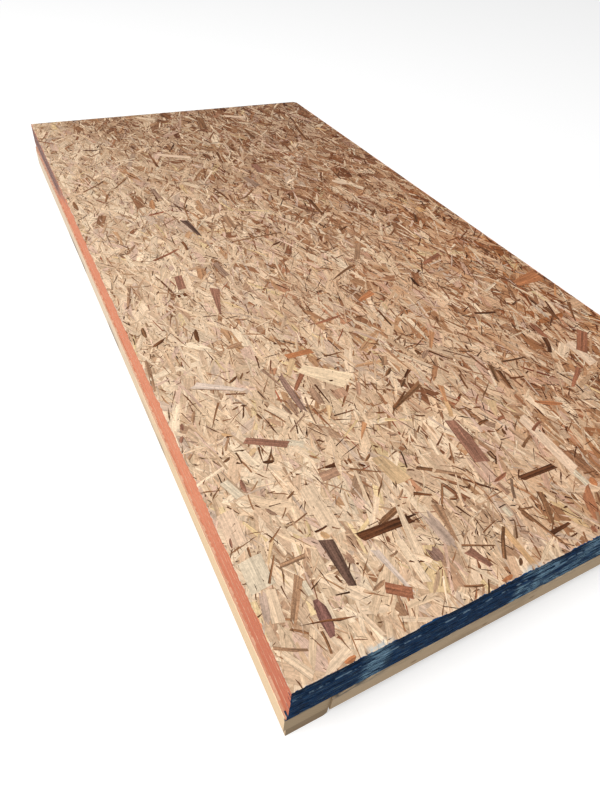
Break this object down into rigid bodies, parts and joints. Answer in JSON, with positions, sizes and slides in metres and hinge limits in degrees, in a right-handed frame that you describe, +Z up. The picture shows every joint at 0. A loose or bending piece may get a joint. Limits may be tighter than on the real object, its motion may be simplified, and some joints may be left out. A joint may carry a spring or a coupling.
{
  "type": "stack of osb panels",
  "caption": "Flat stack of large oriented strand board sheets with painted edges, on a low base of sawn timber rails, cross timbers and runners.",
  "frame": {"origin": "middle of the stack's footprint, on the floor", "axes": "+Z up, +Y along the stack's length towards its far end, +X across its width"},
  "size_m": [1.23, 2.449, 0.195],
  "materials": {
    "osb": "pressed strands, with blue paint on the short edges and orange paint on the long ones",
    "timber": "sawn, bare"
  },
  "bodies": {
    "root": {"osb_panel_1": "osb", "osb_panel_2": "osb", "osb_panel_3": "osb", "osb_panel_4": "osb", "osb_panel_5": "osb", "osb_panel_6": "osb", "osb_panel_7": "osb", "left_rail": "timber", "centre_rail": "timber", "right_rail": "timber", "near_cross_timber": "timber", "far_cross_timber": "timber", "left_runner": "timber", "centre_runner": "timber", "right_runner": "timber"}
  },
  "joints": []
}
